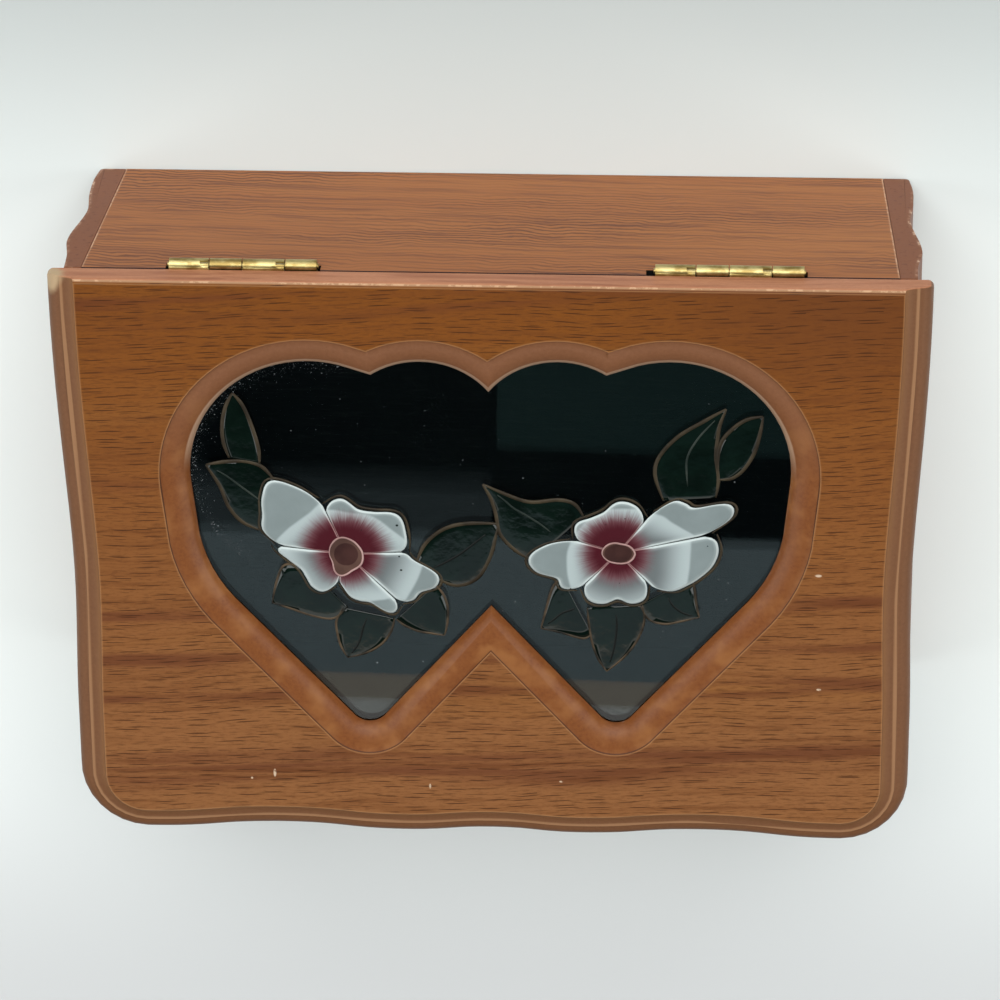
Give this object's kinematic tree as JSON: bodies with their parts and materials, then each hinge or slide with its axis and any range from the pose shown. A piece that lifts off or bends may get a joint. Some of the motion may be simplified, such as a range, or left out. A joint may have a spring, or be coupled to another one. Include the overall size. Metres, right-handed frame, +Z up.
{
  "type": "wooden trinket box",
  "caption": "Small wooden box with moulded walls and a hinged lid that has a routed edge and a double-heart glass window painted with flowers.",
  "frame": {"origin": "centre of the box's footprint, on the underside of its bottom board", "axes": "+X to the right seen from the front, +Y towards the hinges at the back, +Z up through the lid"},
  "size_m": [0.1504, 0.1086, 0.0513],
  "materials": {
    "painted_wood": "satin reddish-brown stain",
    "grained_wood": "satin orange-brown wood grain",
    "dark_board": "matt dark stain",
    "clear_glass": "clear polished",
    "brass": "worn brass plate",
    "glass_paint": "enamel painted on the glass"
  },
  "bodies": {
    "box": {"left_wall": "painted_wood", "right_wall": "painted_wood", "front_wall": "painted_wood", "back_wall": "grained_wood", "bottom_board": "dark_board", "left_hinge_box_leaf": "brass", "left_hinge_pin": "brass", "right_hinge_box_leaf": "brass", "right_hinge_pin": "brass"},
    "lid": {"lid_panel": "grained_wood", "glass_pane": "clear_glass", "left_hinge_lid_leaf": "brass", "right_hinge_lid_leaf": "brass"}
  },
  "joints": [
    {"name": "lid_hinge", "type": "hinge", "parent": "box", "child": "lid", "pos_m": [0, 0.0494, 0.045], "axis": [-1, 0, 0], "range_deg": [0, 100]}
  ]
}
